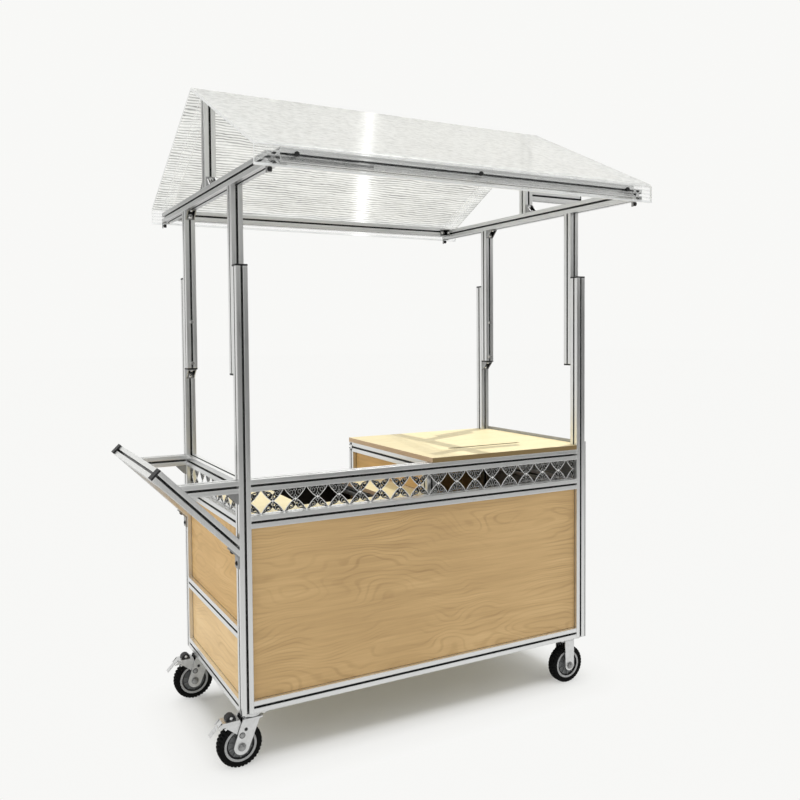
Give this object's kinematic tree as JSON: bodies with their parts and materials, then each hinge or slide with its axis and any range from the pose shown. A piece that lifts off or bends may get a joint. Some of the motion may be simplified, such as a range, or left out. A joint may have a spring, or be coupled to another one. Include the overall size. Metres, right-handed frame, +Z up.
{
  "type": "food cart",
  "caption": "Street food cart of slotted aluminium bars and plywood, with a clear pitched canopy that slides on its posts, a push handle, braked swivel casters and fixed casters.",
  "frame": {"origin": "on the floor under the middle of the cart's body", "axes": "+X from the push handle to the plain end, +Y from the customer's side to the seller's side, +Z up"},
  "size_m": [1.992, 1.378, 2.299],
  "materials": {
    "aluminium": "clear anodised extrusion",
    "plywood": "oiled birch plywood",
    "grey_sheet": "satin composite sheet",
    "fret_metal": "bright pierced sheet",
    "polycarbonate": "clear multiwall sheet",
    "zinc_steel": "zinc plated",
    "black_plastic": "moulded nylon",
    "rim_plastic": "moulded nylon",
    "tyre": "solid rubber"
  },
  "bodies": {
    "cart": {"front_left_post": "aluminium", "front_right_post": "aluminium", "back_left_post": "aluminium", "back_right_post": "aluminium", "front_rails": "aluminium", "back_rails": "aluminium", "left_end_rails": "aluminium", "right_end_rails": "aluminium", "deck_cross_rails": "aluminium", "box_rails": "aluminium", "box_studs": "aluminium", "handle_arms": "aluminium", "handle_bar": "aluminium", "handle_braces": "aluminium", "front_panel": "plywood", "left_upper_panel": "plywood", "left_lower_panel": "plywood", "cooking_deck": "plywood", "cabinet_floor": "plywood", "worktop": "plywood", "box_side_panel": "plywood", "right_end_panel": "grey_sheet", "front_fretwork": "fret_metal", "left_fretwork": "fret_metal", "frame_brackets": "zinc_steel", "swivel_plates": "zinc_steel", "fixed_forks": "zinc_steel", "door_hinges": "zinc_steel", "end_caps": "black_plastic"},
    "canopy": {"canopy_front_left_post": "aluminium", "canopy_front_right_post": "aluminium", "canopy_back_left_post": "aluminium", "canopy_back_right_post": "aluminium", "canopy_end_beams": "aluminium", "canopy_eave_beams": "aluminium", "king_posts": "aluminium", "side_arm": "aluminium", "roof_front_sheet": "polycarbonate", "roof_back_sheet": "polycarbonate", "roof_edge_strips": "polycarbonate", "canopy_brackets": "zinc_steel", "canopy_knobs": "black_plastic", "slide_bolts": "zinc_steel", "canopy_caps": "black_plastic"},
    "front_left_caster": {"front_left_fork": "zinc_steel"},
    "front_left_wheel": {"front_left_rim": "rim_plastic", "front_left_tyre": "tyre"},
    "front_left_brake": {"front_left_brake_pedal": "zinc_steel"},
    "back_left_caster": {"back_left_fork": "zinc_steel"},
    "back_left_wheel": {"back_left_rim": "rim_plastic", "back_left_tyre": "tyre"},
    "back_left_brake": {"back_left_brake_pedal": "zinc_steel"},
    "front_right_wheel": {"front_right_rim": "rim_plastic", "front_right_tyre": "tyre"},
    "back_right_wheel": {"back_right_rim": "rim_plastic", "back_right_tyre": "tyre"},
    "left_door_leaf": {"left_door": "plywood", "left_door_fittings": "zinc_steel"},
    "right_door_leaf": {"right_door": "plywood", "right_door_fittings": "zinc_steel"}
  },
  "joints": [
    {"name": "canopy_height", "type": "slide", "parent": "cart", "child": "canopy", "axis": [0, 0, 1], "range_m": [0, 0.15]},
    {"name": "front_left_caster_swivel", "type": "hinge", "parent": "cart", "child": "front_left_caster", "pos_m": [-0.67, -0.3, 0.075], "axis": [0, 0, 1], "continuous": true},
    {"name": "front_left_wheel_spin", "type": "hinge", "parent": "front_left_caster", "child": "front_left_wheel", "pos_m": [-0.714, -0.3, 0.075], "axis": [0, 1, 0], "continuous": true},
    {"name": "front_left_brake_press", "type": "hinge", "parent": "front_left_caster", "child": "front_left_brake", "pos_m": [-0.714, -0.3, 0.113], "axis": [0, -1, 0], "range_deg": [0, 9]},
    {"name": "back_left_caster_swivel", "type": "hinge", "parent": "cart", "child": "back_left_caster", "pos_m": [-0.67, 0.3, 0.075], "axis": [0, 0, 1], "continuous": true},
    {"name": "back_left_wheel_spin", "type": "hinge", "parent": "back_left_caster", "child": "back_left_wheel", "pos_m": [-0.714, 0.3, 0.075], "axis": [0, 1, 0], "continuous": true},
    {"name": "back_left_brake_press", "type": "hinge", "parent": "back_left_caster", "child": "back_left_brake", "pos_m": [-0.714, 0.3, 0.113], "axis": [0, -1, 0], "range_deg": [0, 9]},
    {"name": "front_right_wheel_spin", "type": "hinge", "parent": "cart", "child": "front_right_wheel", "pos_m": [0.66, -0.31, 0.075], "axis": [0, 1, 0], "continuous": true},
    {"name": "back_right_wheel_spin", "type": "hinge", "parent": "cart", "child": "back_right_wheel", "pos_m": [0.66, 0.31, 0.075], "axis": [0, 1, 0], "continuous": true},
    {"name": "left_door_swing", "type": "hinge", "parent": "cart", "child": "left_door_leaf", "pos_m": [-0.6785, 0.364, 0.515], "axis": [0, 0, 1], "range_deg": [0, 120]},
    {"name": "right_door_swing", "type": "hinge", "parent": "cart", "child": "right_door_leaf", "pos_m": [0.6785, 0.364, 0.515], "axis": [0, 0, -1], "range_deg": [0, 120]}
  ]
}
